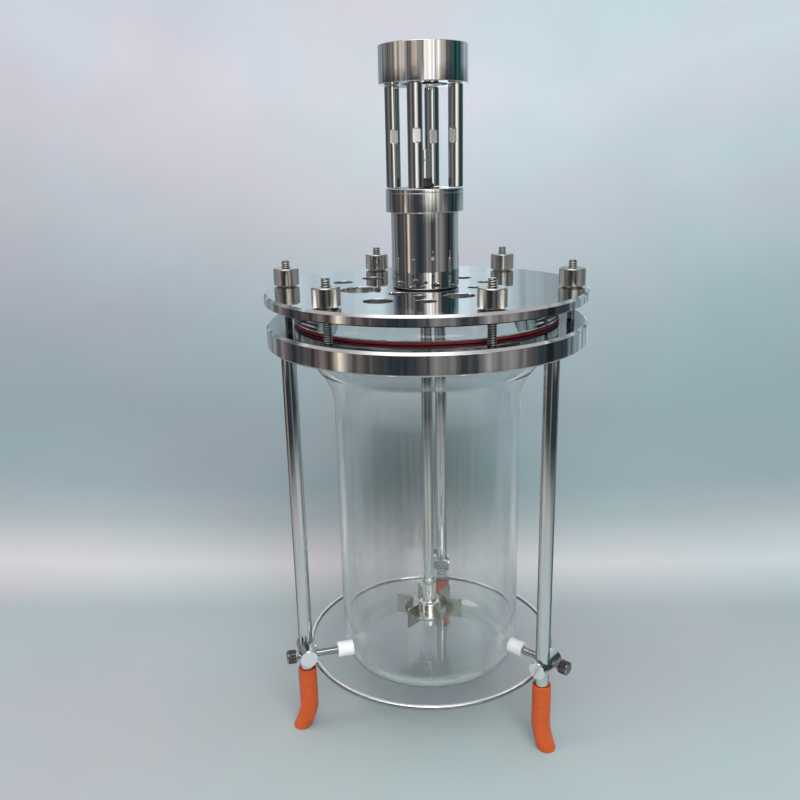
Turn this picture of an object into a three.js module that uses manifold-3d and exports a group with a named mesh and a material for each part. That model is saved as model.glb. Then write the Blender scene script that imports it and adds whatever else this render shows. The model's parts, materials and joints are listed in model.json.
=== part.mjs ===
// Bench bioreactor: a flanged glass stirred vessel, hung from a ring on three legs, under a drilled
// stainless lid with a bottom-reaching stirrer. Millimetres, +Z up, origin on the floor at the centre.
import * as THREE from 'three';
import { mergeVertices } from 'three/addons/utils/BufferGeometryUtils.js';
import Module from 'manifold-3d';

const wasm = await Module();
wasm.setup();

// ---------------------------------------------------------------- driving dimensions
const GAP = 0.3;                    // running gap left between neighbouring solids
const RING_BOTTOM = 289;            // height of the clamp ring's underside
const RING_THICK = 14.5;
const RING_R = 109.5;
const RING_BORE_R = 82;
const GASKET_THICK = 1.6;
const FLANGE_R = 91;
const FLANGE_THICK = 12.2;
const LID_R = 110;
const LID_THICK = 7;
const LID_BOTTOM = 318;
const LID_TOP = LID_BOTTOM + LID_THICK;

const VESSEL_R = 66;                // glass body, outside
const VESSEL_WALL = 4;
const VESSEL_BOTTOM = 44;
const VESSEL_KNUCKLE = 17;          // rounding between wall and bottom
const NECK_R = 80;                  // straight neck through the clamp ring
const FLARE_START = 240;            // where the body starts to widen into the neck
const FLARE_LOW_R = 50;             // hollow curve that leaves the body
const FLARE_HIGH_R = 20;            // rounded curve that meets the neck

const STUD_COUNT = 6;
const STUD_CIRCLE_R = 98.3;
const STUD_D = 6;
const STUD_TOP = 342.6;
const NUT_D = 17.8;
const NUT_HEIGHT = 12.2;

const LEG_ANGLES = [90, 210, 330];
const LEG_CIRCLE_R = 98.5;
const LEG_D = 10;
const LEG_FOOT = 21;                // the rod stops this far above the floor, inside its sleeve
const SLEEVE_D = 13.4;
const SLEEVE_TOP = 51;
const SLEEVES = [                   // how far each lower end leans, and where to, in degrees from outward
  { lean: 5, towards: 0 },
  { lean: 6.5, towards: -30 },
  { lean: 5.5, towards: 0 },
];
const BASE_RING_R = 91.6;
const BASE_RING_WIRE = 3;
const BASE_RING_Z = 55;

const BOSS_D = 13;
const BOSS_INNER_END = -7.5;        // along the boss, from the leg's axis
const BOSS_OUTER_END = 16;
const SCREW_OFFSET = 9;             // screw axis beside the leg's axis
const SCREW_D = 5;
const KNOB_D = 9.6;
const KNOB_LENGTH = 7;
const SCREW_REACH = 48.5;           // pad face to the knob's outer end
const PAD_D = 11;
const PAD_LENGTH = 11.5;
const CLAMPS = [                    // height on the leg and swivel about it, one for each leg
  { height: 66, swivel: 0 },
  { height: 67, swivel: -7 },
  { height: 64.7, swivel: -2 },
];

const HOUSING_R = 22.9;
const HOUSING_TOP = 375;
const COLLAR_R = 26.15;
const COLLAR_TOP = 390.4;
const PILLAR_CIRCLE_R = 21.2;
const PILLAR_D = 9.8;
const PILLAR_PHASE = -7.9;
const FLAT_HEADINGS = [-116, -67, -67, -67];   // which way each pillar's spanner flats face
const MOTOR_RING_R = 28.9;
const MOTOR_RING_BOTTOM = 454.5;
const MOTOR_RING_TOP = 477.8;

const SHAFT_D = 8;
const SHAFT_TOP = 414.7;
const SHAFT_BOTTOM = 63;
const IMPELLER_D = 50;
const IMPELLER_DISC_Z = 78;
const BLADE_LENGTH = 12.5;
const BLADE_HEIGHT = 15;
const BLADE_COUNT = 6;
const BLADE_PHASE = -3;

// Lid ports: place, bore and whether a seat is turned round the mouth.
const PORTS = [
  { x: -61.6, y: 16.9, d: 14.3 },
  { x: -42, y: -17.1, d: 27.7 },
  { x: -22, y: -62.1, d: 19 },
  { x: -44, y: 37.5, d: 15.7 },
  { x: -14.4, y: -33.2, d: 11.8 },
  { x: 0.9, y: -42, d: 9.3 },
  { x: 7.7, y: -61.7, d: 13.5 },
  { x: 26.5, y: -40.2, d: 19.7 },
  { x: 34, y: -5, d: 10 },
  { x: 21.9, y: 40.8, d: 13 },
  { x: 39, y: 20, d: 10 },
];

// Facets round a full turn, by the size of what is turned.
const PLATE_SIDES = 56;
const VESSEL_SIDES = 44;
const DRIVE_SIDES = 30;
const ROD_SIDES = 14;
const SMALL_SIDES = 10;

// ---------------------------------------------------------------- materials
const finish = (color, roughness, metalness, extra = {}) =>
  new THREE.MeshStandardMaterial({ color, roughness, metalness, ...extra });
const polished = finish(0xc9c6c0, 0.12, 1);
const turned = finish(0xb9b6b0, 0.28, 1);
const glass = finish(0xdfeaec, 0.03, 0, { transparent: true, opacity: 0.3 });
const orangeSilicone = finish(0xc85c28, 0.5, 0);
const redSilicone = finish(0x8a4238, 0.6, 0);
const whitePlastic = finish(0xf2f2ee, 0.45, 0);
const blackRubber = finish(0x191919, 0.6, 0);
const clearSilicone = finish(0xd8dcda, 0.4, 0);

// ---------------------------------------------------------------- solids
const rad = THREE.MathUtils.degToRad;

// Turns any closed three.js geometry into a solid that can be cut and joined.
function solid(geometry) {
  const bare = geometry.clone();
  bare.deleteAttribute('normal');
  bare.deleteAttribute('uv');
  const merged = mergeVertices(bare, 1e-4);
  const index = merged.getIndex().array;
  const corners = [];
  for (let i = 0; i < index.length; i += 3) {
    const [a, b, c] = [index[i], index[i + 1], index[i + 2]];
    if (a !== b && b !== c && c !== a) corners.push(a, b, c);
  }
  return new wasm.Manifold(new wasm.Mesh({
    numProp: 3,
    vertProperties: Float32Array.from(merged.getAttribute('position').array),
    triVerts: Uint32Array.from(corners),
  }));
}

function geometryOf(body) {
  const { vertProperties, triVerts } = body.getMesh();
  const geometry = new THREE.BufferGeometry();
  geometry.setAttribute('position', new THREE.BufferAttribute(vertProperties, 3));
  geometry.setIndex(new THREE.BufferAttribute(triVerts, 1));
  geometry.computeVertexNormals();
  return geometry;
}

function cut(geometry, ...cutters) {
  return geometryOf(cutters.reduce((body, cutter) => body.subtract(solid(cutter)), solid(geometry)));
}

function join(geometry, ...others) {
  return geometryOf(others.reduce((body, other) => body.add(solid(other)), solid(geometry)));
}

// A body turned about Z from an outline of [radius, height] pairs.
function turnedBody(outline, segments) {
  const area = outline.reduce((sum, [r, z], i) => {
    const [nextR, nextZ] = outline[(i + 1) % outline.length];
    return sum + r * nextZ - nextR * z;
  }, 0);
  const points = (area > 0 ? outline : [...outline].reverse()).map(([r, z]) => new THREE.Vector2(r, z));
  const closed = outline.some(([r]) => r === 0) ? points : [...points, points[0]];
  return new THREE.LatheGeometry(closed, segments).rotateX(Math.PI / 2);
}

function washer(outer, inner, bottom, top, segments) {
  return turnedBody([[inner, bottom], [outer, bottom], [outer, top], [inner, top]], segments);
}

// A plain round bar with the same chamfer at both ends.
function bar(radius, bottom, top, segments, chamfer = 0.4) {
  return turnedBody([
    [0, bottom], [radius - chamfer, bottom], [radius, bottom + chamfer],
    [radius, top - chamfer], [radius - chamfer, top], [0, top],
  ], segments);
}

function upright(radius, bottom, top, segments, x = 0, y = 0) {
  return new THREE.CylinderGeometry(radius, radius, top - bottom, segments)
    .rotateX(Math.PI / 2)
    .translate(x, y, (top + bottom) / 2);
}

// Points on an arc in the outline plane, from one angle to the other in degrees.
function arc(r, z, radius, from, to, steps) {
  return Array.from({ length: steps + 1 }, (_, i) => {
    const angle = rad(from + (to - from) * i / steps);
    return [r + radius * Math.cos(angle), z + radius * Math.sin(angle)];
  });
}

function around(count, circle, phase = 0) {
  return Array.from({ length: count }, (_, i) => {
    const angle = rad(phase + i * 360 / count);
    return { x: circle * Math.cos(angle), y: circle * Math.sin(angle), angle };
  });
}

const group = new THREE.Group();

function add(parent, name, geometry, material) {
  const mesh = new THREE.Mesh(geometry, material);
  mesh.name = name;
  parent.add(mesh);
  return mesh;
}

// ---------------------------------------------------------------- lid, ring and vessel
const GASKET_BOTTOM = RING_BOTTOM + RING_THICK + 0.2;
const FLANGE_BOTTOM = GASKET_BOTTOM + GASKET_THICK + 0.2;
const FLANGE_TOP = FLANGE_BOTTOM + FLANGE_THICK;
const ORING_R = 83.5;
const ORING_WIRE = 3.2;
const studs = around(STUD_COUNT, STUD_CIRCLE_R);
const legs = LEG_ANGLES.map((degrees) => rad(degrees));

function lidPlate() {
  const plate = turnedBody([
    [0, LID_BOTTOM], [LID_R - 0.6, LID_BOTTOM], [LID_R, LID_BOTTOM + 0.6],
    [LID_R, LID_TOP - 1.6], [LID_R - 1.6, LID_TOP], [0, LID_TOP],
  ], PLATE_SIDES);
  const through = [LID_BOTTOM - 1, LID_TOP + 1];
  const ports = PORTS.map(({ x, y, d }) => upright(d / 2, ...through, d > 12 ? 20 : 16, x, y));
  const studHoles = studs.map(({ x, y }) => upright(STUD_D / 2 + GAP, ...through, SMALL_SIDES, x, y));
  const shaftHole = upright(HOUSING_R - 4.6, ...through, DRIVE_SIDES);
  const groove = washer(ORING_R + 2.2, ORING_R - 2.2, LID_BOTTOM - 1, LID_BOTTOM + 3.5, VESSEL_SIDES);
  return cut(plate, ...ports, ...studHoles, shaftHole, groove);
}

function lidOring() {
  return new THREE.TorusGeometry(ORING_R, ORING_WIRE / 2, 6, VESSEL_SIDES)
    .translate(0, 0, FLANGE_TOP + 0.2 + ORING_WIRE / 2);
}

function clampRing() {
  const top = RING_BOTTOM + RING_THICK;
  const ring = turnedBody([
    [RING_BORE_R, RING_BOTTOM], [RING_R - 1, RING_BOTTOM], [RING_R, RING_BOTTOM + 1],
    [RING_R, top - 2.2], [RING_R - 2.2, top], [RING_BORE_R + 3, top], [RING_BORE_R, top - 3],
  ], PLATE_SIDES);
  const studHoles = studs.map(({ x, y }) => upright(
    STUD_D / 2 + GAP, RING_BOTTOM + 2, top + 1, SMALL_SIDES, x, y,
  ));
  const sockets = legs.map((angle) => upright(
    LEG_D / 2 + GAP, RING_BOTTOM - 1, RING_BOTTOM + 8, ROD_SIDES,
    LEG_CIRCLE_R * Math.cos(angle), LEG_CIRCLE_R * Math.sin(angle),
  ));
  return cut(ring, ...studHoles, ...sockets);
}

// Blown body with a rounded bottom, a flared shoulder and a thick ground flange.
function glassVessel() {
  const outerKnuckle = arc(
    VESSEL_R - VESSEL_KNUCKLE, VESSEL_BOTTOM + VESSEL_KNUCKLE, VESSEL_KNUCKLE, -90, 0, 5,
  );
  const innerKnuckle = arc(
    VESSEL_R - VESSEL_KNUCKLE, VESSEL_BOTTOM + VESSEL_KNUCKLE, VESSEL_KNUCKLE - VESSEL_WALL, 0, -90, 4,
  );
  const low = { r: VESSEL_R + FLARE_LOW_R, z: FLARE_START };
  const high = { r: NECK_R - FLARE_HIGH_R };
  const meet = Math.acos((low.r - high.r) / (FLARE_LOW_R + FLARE_HIGH_R));
  high.z = low.z + (FLARE_LOW_R + FLARE_HIGH_R) * Math.sin(meet);
  const turn = meet * 180 / Math.PI;
  const outerShoulder = [
    ...arc(low.r, low.z, FLARE_LOW_R, 180, 180 - turn, 3),
    ...arc(high.r, high.z, FLARE_HIGH_R, -turn, 0, 3).slice(1),
    [NECK_R, FLANGE_BOTTOM],
  ];
  const innerShoulder = [
    [NECK_R - VESSEL_WALL, FLANGE_TOP],
    ...arc(high.r, high.z, FLARE_HIGH_R - VESSEL_WALL, 0, -turn, 3),
    ...arc(low.r, low.z, FLARE_LOW_R + VESSEL_WALL, 180 - turn, 180, 3).slice(1),
  ];
  return turnedBody([
    [0, VESSEL_BOTTOM + 1.2],
    ...outerKnuckle,
    ...outerShoulder,
    [FLANGE_R - 1, FLANGE_BOTTOM],
    [FLANGE_R, FLANGE_BOTTOM + 1],
    [FLANGE_R, FLANGE_TOP - 1],
    [FLANGE_R - 1, FLANGE_TOP],
    ...innerShoulder,
    ...innerKnuckle,
    [0, VESSEL_BOTTOM + VESSEL_WALL + 1.2],
  ], VESSEL_SIDES);
}

function flangeGasket() {
  return washer(FLANGE_R - 0.4, RING_BORE_R + 4, GASKET_BOTTOM, GASKET_BOTTOM + GASKET_THICK, VESSEL_SIDES);
}

// ---------------------------------------------------------------- studs and thumb nuts
function stud() {
  return bar(STUD_D / 2, RING_BOTTOM + 2 + GAP, STUD_TOP, SMALL_SIDES, 0.8);
}

function thumbNut() {
  const radius = NUT_D / 2;
  const foot = LID_TOP + GAP;
  const top = foot + NUT_HEIGHT;
  const bore = STUD_D / 2 + GAP;
  return turnedBody([
    [bore, foot], [radius - 1.2, foot], [radius - 1.2, foot + 0.4], [radius, foot + 0.9],
    [radius, top - 1], [radius - 1, top], [bore, top],
  ], 18);
}

// ---------------------------------------------------------------- legs, sleeves and base ring
function leg() {
  return bar(LEG_D / 2, LEG_FOOT, RING_BOTTOM + 8 - GAP, ROD_SIDES, 0.6);
}

// Silicone sleeve whose lower end leans to one side; +X is outward.
function footSleeve({ lean, towards }) {
  const outer = SLEEVE_D / 2;
  const bore = LEG_D / 2 + GAP;
  const levels = [0.7, 7, 14, 20];
  const sleeve = turnedBody([
    [bore, 0], [outer - 0.7, 0], ...levels.map((z) => [outer, z]),
    [outer, SLEEVE_TOP - 0.7], [outer - 0.7, SLEEVE_TOP], [bore, SLEEVE_TOP],
    ...levels.slice(1).reverse().map((z) => [bore, z]),
  ], ROD_SIDES);
  const position = sleeve.getAttribute('position');
  const straightFrom = LEG_FOOT - 1;
  for (let i = 0; i < position.count; i += 1) {
    const below = Math.max(0, straightFrom - position.getZ(i)) / straightFrom;
    const shift = lean * below ** 1.5;
    position.setX(i, position.getX(i) + shift * Math.cos(rad(towards)));
    position.setY(i, position.getY(i) + shift * Math.sin(rad(towards)));
  }
  return sleeve;
}

function baseRing() {
  return new THREE.TorusGeometry(BASE_RING_R, BASE_RING_WIRE / 2, 6, PLATE_SIDES).translate(0, 0, BASE_RING_Z);
}

// ---------------------------------------------------------------- clamps that steady the vessel
// Everything of a clamp lies in its own frame: the leg is the Z axis and +X points away from the vessel.
function lying(geometry) {
  return geometry.rotateX(-Math.PI / 2);
}

function pointingOut(geometry) {
  return geometry.rotateY(Math.PI / 2);
}

function clampBoss() {
  const boss = lying(bar(BOSS_D / 2, BOSS_INNER_END, BOSS_OUTER_END, 20, 0.7));
  const legBore = upright(LEG_D / 2 + GAP, -BOSS_D, BOSS_D, ROD_SIDES);
  const screwBore = pointingOut(upright(SCREW_D / 2 + GAP, -BOSS_D, BOSS_D, SMALL_SIDES))
    .translate(0, SCREW_OFFSET, 0);
  const setScrewBore = pointingOut(upright(1.9, -BOSS_D, 0, SMALL_SIDES));
  return cut(boss, legBore, screwBore, setScrewBore);
}

function clampSetScrew() {
  const inner = LEG_D / 2 + GAP;
  const screw = bar(1.6, -BOSS_D / 2 - 1.2, -inner, SMALL_SIDES, 0.3);
  return pointingOut(screw);
}

// Where the pad's face meets the round glass, measured from the point of the rod abreast of the axis.
function padFace(swivel) {
  const abreast = SCREW_OFFSET - LEG_CIRCLE_R * Math.sin(rad(swivel));
  const nearest = Math.max(0, Math.abs(abreast) - PAD_D / 2);
  return Math.sqrt((VESSEL_R + GAP) ** 2 - nearest ** 2);
}

function supportScrew(face) {
  const end = face + SCREW_REACH;
  const knob = end - KNOB_LENGTH;
  const radius = KNOB_D / 2;
  return pointingOut(turnedBody([
    [0, face + 5], [SCREW_D / 2, face + 5], [SCREW_D / 2, knob - 1.2], [radius - 1.4, knob - 1.2], [radius - 1.4, knob],
    [radius - 0.6, knob], [radius, knob + 0.8], [radius, end - 0.9], [radius - 0.9, end], [0, end],
  ], ROD_SIDES));
}

function supportPad(face) {
  const radius = PAD_D / 2;
  const bore = SCREW_D / 2 + GAP;
  const end = face + PAD_LENGTH;
  return pointingOut(turnedBody([
    [0, face], [radius - 0.5, face], [radius, face + 0.5], [radius, end - 0.5], [radius - 0.5, end],
    [bore, end], [bore, face + 5 - GAP], [0, face + 5 - GAP],
  ], ROD_SIDES));
}

function supportClamp(number, angle, { height, swivel }) {
  const atLeg = new THREE.Group();
  atLeg.rotation.z = angle + rad(swivel);
  atLeg.position.set(LEG_CIRCLE_R * Math.cos(angle), LEG_CIRCLE_R * Math.sin(angle), height);
  add(atLeg, `clamp_boss_${number}`, clampBoss(), polished);
  add(atLeg, `clamp_set_screw_${number}`, clampSetScrew(), turned);
  const face = padFace(swivel);
  const alongRod = new THREE.Group();
  alongRod.position.set(-LEG_CIRCLE_R * Math.cos(rad(swivel)), SCREW_OFFSET, 0);
  add(alongRod, `support_screw_${number}`, supportScrew(face), turned);
  add(alongRod, `support_pad_${number}`, supportPad(face), whitePlastic);
  atLeg.add(alongRod);
  group.add(atLeg);
}

// ---------------------------------------------------------------- stirrer drive
const BEARING_BORE_R = 11;
const BEARING_WIDTH = 7;
const UPPER_BEARING_Z = COLLAR_TOP - 12;
const LOWER_BEARING_Z = LID_TOP + 12;
const HOUSING_FOOT = LID_BOTTOM - 6;

// Bored housing: a spigot drops through the lid, and two seats hold the bearings.
function driveHousing() {
  const spigot = HOUSING_R - 5;
  const base = LID_TOP + GAP;
  const throat = SHAFT_D / 2 + 1.2;
  return turnedBody([
    [throat, HOUSING_FOOT], [spigot, HOUSING_FOOT], [spigot, base + 0.7], [HOUSING_R - 1, base + 0.7],
    [HOUSING_R, base + 2.2], [HOUSING_R, HOUSING_TOP], [BEARING_BORE_R + GAP, HOUSING_TOP],
    [BEARING_BORE_R + GAP, HOUSING_TOP - 1.5], [SHAFT_D / 2 + 3, HOUSING_TOP - 1.5],
    [SHAFT_D / 2 + 3, LOWER_BEARING_Z + BEARING_WIDTH + GAP],
    [BEARING_BORE_R + GAP, LOWER_BEARING_Z + BEARING_WIDTH + GAP],
    [BEARING_BORE_R + GAP, LOWER_BEARING_Z - GAP],
    [SHAFT_D / 2 + 5 + GAP, LOWER_BEARING_Z - GAP], [SHAFT_D / 2 + 5 + GAP, HOUSING_FOOT + 10],
    [throat, HOUSING_FOOT + 10],
  ], DRIVE_SIDES);
}

function housingOring() {
  return new THREE.TorusGeometry(HOUSING_R - 1.3, 0.3, 5, DRIVE_SIDES).translate(0, 0, LID_TOP + 0.45);
}

function housingCollar() {
  const bottom = HOUSING_TOP + GAP;
  const collar = turnedBody([
    [SHAFT_D / 2 + 3, bottom], [COLLAR_R - 0.8, bottom], [COLLAR_R, bottom + 0.8],
    [COLLAR_R, COLLAR_TOP - 3.6], [COLLAR_R - 0.5, COLLAR_TOP - 3.2], [COLLAR_R, COLLAR_TOP - 2.8],
    [COLLAR_R, COLLAR_TOP - 0.8], [COLLAR_R - 0.8, COLLAR_TOP], [BEARING_BORE_R + GAP, COLLAR_TOP],
    [BEARING_BORE_R + GAP, UPPER_BEARING_Z - GAP], [SHAFT_D / 2 + 3, UPPER_BEARING_Z - GAP],
  ], DRIVE_SIDES);
  return collar;
}

function bearing(bottom) {
  return washer(BEARING_BORE_R, SHAFT_D / 2 + GAP, bottom, bottom + BEARING_WIDTH, 20);
}

function shaftSeal() {
  const outer = SHAFT_D / 2 + 5;
  const inner = SHAFT_D / 2 + GAP;
  const bottom = HOUSING_FOOT + 10 + GAP;
  return turnedBody([
    [inner + 2, bottom], [outer, bottom], [outer, bottom + 6],
    [inner + 2, bottom + 6], [inner, bottom + 5],
  ], ROD_SIDES);
}

function driveSeal() {
  const bottom = COLLAR_TOP + GAP;
  const inner = SHAFT_D / 2 - 0.6;
  return turnedBody([
    [inner, bottom], [6.4, bottom], [6.4, bottom + 1.6], [5.2, bottom + 3], [4.8, bottom + 5.8], [inner, bottom + 5.8],
  ], ROD_SIDES);
}

// Retaining plate over the upper bearing, which also carries the rubber seal.
function bearingCover() {
  return washer(BEARING_BORE_R - 0.2, SHAFT_D / 2 + GAP, COLLAR_TOP - 4.4, COLLAR_TOP - 0.4, 20);
}

// Cage pillar with a pair of spanner flats above its middle.
function pillar(heading) {
  const bottom = COLLAR_TOP + GAP;
  const top = MOTOR_RING_BOTTOM - GAP;
  const flat = new THREE.BoxGeometry(PILLAR_D, PILLAR_D, 9);
  const across = 8 / 2 + PILLAR_D / 2;
  return cut(
    bar(PILLAR_D / 2, bottom, top, ROD_SIDES, 0.5),
    flat.clone().translate(0, across, 423),
    flat.clone().translate(0, -across, 423),
  ).rotateZ(rad(heading - 90));
}

function motorRing() {
  const bore = 15.2;
  const recess = 24.5;
  return turnedBody([
    [recess - 8, MOTOR_RING_BOTTOM], [MOTOR_RING_R - 0.8, MOTOR_RING_BOTTOM],
    [MOTOR_RING_R, MOTOR_RING_BOTTOM + 0.8], [MOTOR_RING_R, MOTOR_RING_TOP - 1],
    [MOTOR_RING_R - 1, MOTOR_RING_TOP], [recess, MOTOR_RING_TOP],
    [recess, MOTOR_RING_TOP - 6], [bore, MOTOR_RING_TOP - 6], [bore, MOTOR_RING_BOTTOM + 1.3],
  ], 36);
}

function stirrerShaft() {
  const neck = SHAFT_D / 2 - 1;
  const pinBore = new THREE.CylinderGeometry(1.3, 1.3, 20, SMALL_SIDES).translate(0, 0, 408);
  return cut(turnedBody([
    [0, SHAFT_BOTTOM + 3], [SHAFT_D / 2, SHAFT_BOTTOM + 3], [SHAFT_D / 2, COLLAR_TOP - 0.2],
    [neck, COLLAR_TOP + 0.6], [neck, SHAFT_TOP - 0.8], [neck - 0.8, SHAFT_TOP], [0, SHAFT_TOP],
  ], ROD_SIDES), pinBore);
}

function drivePin() {
  return new THREE.CylinderGeometry(1, 1, 11, SMALL_SIDES).translate(0, 0, 408);
}

// ---------------------------------------------------------------- Rushton impeller
function impeller() {
  const bore = SHAFT_D / 2 + GAP;
  const hub = turnedBody([
    [bore, 68.6], [6.9, 68.6], [7.5, 69.2], [7.5, 83.4], [6.9, 84], [5.2, 85],
    [5, 86], [5, 103.5], [4.7, 104], [bore, 104],
  ], 18);
  const disc = washer(IMPELLER_D / 2 - BLADE_LENGTH / 2, 6, IMPELLER_DISC_Z - 1, IMPELLER_DISC_Z + 1, DRIVE_SIDES);
  const blade = new THREE.BoxGeometry(BLADE_LENGTH, 1.6, BLADE_HEIGHT)
    .translate(IMPELLER_D / 2 - BLADE_LENGTH / 2, 0, IMPELLER_DISC_Z + 1.5);
  const blades = around(BLADE_COUNT, 1, BLADE_PHASE).map(({ angle }) => blade.clone().rotateZ(angle));
  const grubHole = pointingOut(upright(1.9, 3, 9, SMALL_SIDES)).rotateZ(rad(BLADE_PHASE - 90)).translate(0, 0, 94);
  return cut(join(hub, disc, ...blades), grubHole);
}

function impellerGrubScrew() {
  return pointingOut(bar(1.55, SHAFT_D / 2 + 0.3, 5.6, SMALL_SIDES, 0.2)).rotateZ(rad(BLADE_PHASE - 90)).translate(0, 0, 94);
}

// Domed end nut below the hub.
function impellerNut() {
  return turnedBody([
    [0, 61.4], [1.6, 61.6], [3.1, 62.6], [3.6, 64], [5.2, 64.4], [5.2, 68.2], [4.2, 68.2],
    [4.2, 66 - GAP], [0, 66 - GAP],
  ], ROD_SIDES);
}

// ---------------------------------------------------------------- assembly
add(group, 'lid_plate', lidPlate(), polished);
add(group, 'lid_oring', lidOring(), clearSilicone);
add(group, 'clamp_ring', clampRing(), polished);
add(group, 'glass_vessel', glassVessel(), glass);
add(group, 'flange_gasket', flangeGasket(), redSilicone);

studs.forEach(({ x, y }, i) => {
  add(group, `stud_${i + 1}`, stud(), turned).position.set(x, y, 0);
  add(group, `thumb_nut_${i + 1}`, thumbNut(), turned).position.set(x, y, 0);
});

legs.forEach((angle, i) => {
  const number = i + 1;
  const atLeg = new THREE.Group();
  atLeg.rotation.z = angle;
  atLeg.position.set(LEG_CIRCLE_R * Math.cos(angle), LEG_CIRCLE_R * Math.sin(angle), 0);
  add(atLeg, `leg_${number}`, leg(), polished);
  add(atLeg, `foot_tube_${number}`, footSleeve(SLEEVES[i]), orangeSilicone);
  group.add(atLeg);
  supportClamp(number, angle, CLAMPS[i]);
});
add(group, 'base_ring', baseRing(), polished);

add(group, 'drive_housing', driveHousing(), polished);
add(group, 'housing_oring', housingOring(), blackRubber);
add(group, 'housing_collar', housingCollar(), polished);
around(4, PILLAR_CIRCLE_R, PILLAR_PHASE).forEach(({ x, y }, i) => {
  add(group, `pillar_${i + 1}`, pillar(FLAT_HEADINGS[i]), polished).position.set(x, y, 0);
});
add(group, 'motor_ring', motorRing(), polished);
add(group, 'bearing_upper', bearing(UPPER_BEARING_Z), turned);
add(group, 'bearing_lower', bearing(LOWER_BEARING_Z), turned);
add(group, 'bearing_cover', bearingCover(), turned);
add(group, 'shaft_seal', shaftSeal(), blackRubber);
add(group, 'drive_seal', driveSeal(), blackRubber);

add(group, 'stirrer_shaft', stirrerShaft(), polished);
add(group, 'drive_pin', drivePin(), turned);
add(group, 'impeller', impeller(), polished);
add(group, 'impeller_grub_screw', impellerGrubScrew(), turned);
add(group, 'impeller_nut', impellerNut(), polished);

export default group;
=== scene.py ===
"""Looks of a bench bioreactor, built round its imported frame. Outlines are in millimetres, +Z up."""
import json
import math
from types import SimpleNamespace

import bmesh
import bpy
from mathutils import Matrix, Vector

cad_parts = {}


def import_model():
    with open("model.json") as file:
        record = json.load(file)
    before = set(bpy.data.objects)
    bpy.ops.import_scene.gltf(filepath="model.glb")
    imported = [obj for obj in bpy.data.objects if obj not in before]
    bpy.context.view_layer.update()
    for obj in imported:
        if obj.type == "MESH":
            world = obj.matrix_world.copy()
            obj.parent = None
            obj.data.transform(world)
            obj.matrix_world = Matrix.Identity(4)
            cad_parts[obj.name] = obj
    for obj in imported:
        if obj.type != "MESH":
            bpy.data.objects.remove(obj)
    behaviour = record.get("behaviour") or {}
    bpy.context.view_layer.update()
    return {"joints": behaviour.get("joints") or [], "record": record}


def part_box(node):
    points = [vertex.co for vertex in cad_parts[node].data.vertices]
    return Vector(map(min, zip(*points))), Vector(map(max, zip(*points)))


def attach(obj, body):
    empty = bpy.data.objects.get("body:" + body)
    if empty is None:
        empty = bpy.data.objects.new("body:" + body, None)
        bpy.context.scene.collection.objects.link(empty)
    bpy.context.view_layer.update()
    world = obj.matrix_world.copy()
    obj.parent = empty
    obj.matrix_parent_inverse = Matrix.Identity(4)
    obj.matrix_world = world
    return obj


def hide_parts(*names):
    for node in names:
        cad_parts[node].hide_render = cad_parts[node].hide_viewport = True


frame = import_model()

MM = 0.001
RECORD = frame["record"]
BODY_OF = {node: body for body, nodes in RECORD["behaviour"]["bodies"].items() for node in nodes}


# ---------------------------------------------------------------- sizes read from the frame
def low(node):
    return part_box(node)[0] / MM


def high(node):
    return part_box(node)[1] / MM


def heights(node):
    return low(node).z, high(node).z


def centre(node):
    return (low(node) + high(node)) / 2


def radius(node):
    return (high(node).x - low(node).x) / 2


# ---------------------------------------------------------------- mesh building
TINY = 1e-6
NEARLY_STRAIGHT = math.radians(160)


def soften(outline, size=0.4, steps=3):
    """Rounds the corners of a closed outline of (radius, height), leaving points on the axis alone."""
    result = []
    for i, point in enumerate(outline):
        before, here = Vector(outline[i - 1]), Vector(point)
        after = Vector(outline[(i + 1) % len(outline)])
        back, ahead = before - here, after - here
        on_axis_or_doubled = min(here.x, back.length, ahead.length) < TINY
        if on_axis_or_doubled or back.angle(ahead) > NEARLY_STRAIGHT:
            result.append(tuple(here))
            continue
        cut = min(size, 0.45 * back.length, 0.45 * ahead.length)
        start, end = here + back.normalized() * cut, here + ahead.normalized() * cut
        for k in range(steps + 1):
            t = k / steps
            result.append(tuple(start * (1 - t) ** 2 + here * 2 * t * (1 - t) + end * t ** 2))
    return result


def arc(r, z, size, start, end, steps):
    """Points on an arc in the outline plane, angles in degrees."""
    angles = [math.radians(start + (end - start) * k / steps) for k in range(steps + 1)]
    return [(r + size * math.cos(a), z + size * math.sin(a)) for a in angles]


def ring(bm, size, z, sides, bend=None):
    """A level ring of vertices, each moved by bend."""
    points = []
    for k in range(sides):
        a = 2 * math.pi * k / sides
        point = Vector((size * math.cos(a), size * math.sin(a), z))
        points.append(bm.verts.new(bend(point) if bend else point))
    return points


def bridge(bm, lower, upper):
    """Faces between two rings of the same count, or between a ring and a single vertex."""
    count = max(len(lower), len(upper))
    if len(lower) == len(upper) == 1:
        return
    for k in range(count):
        corners = [lower[k % len(lower)], lower[(k + 1) % len(lower)]]
        corners += [upper[(k + 1) % len(upper)], upper[k % len(upper)]]
        bm.faces.new(list(dict.fromkeys(corners)))


def revolve(outline, sides=96, bend=None):
    """A bmesh turned about Z from a closed outline."""
    bm = bmesh.new()
    rings = [
        [bm.verts.new((0, 0, z))] if r < TINY else ring(bm, r, z, sides, bend)
        for r, z in outline
    ]
    for k, here in enumerate(rings):
        bridge(bm, here, rings[(k + 1) % len(rings)])
    return bm


def merge(*parts):
    """Joins several bmeshes, given as bmesh or (bmesh, matrix), into a new one."""
    result = bmesh.new()
    for part in parts:
        bm, matrix = part if isinstance(part, tuple) else (part, Matrix())
        scratch = bpy.data.meshes.new("scratch")
        bm.transform(matrix)
        bm.to_mesh(scratch)
        result.from_mesh(scratch)
        bm.free()
        bpy.data.meshes.remove(scratch)
    return result


def cap_ends(bm, rings):
    bm.faces.new(rings[0])
    bm.faces.new(rings[-1])


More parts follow.
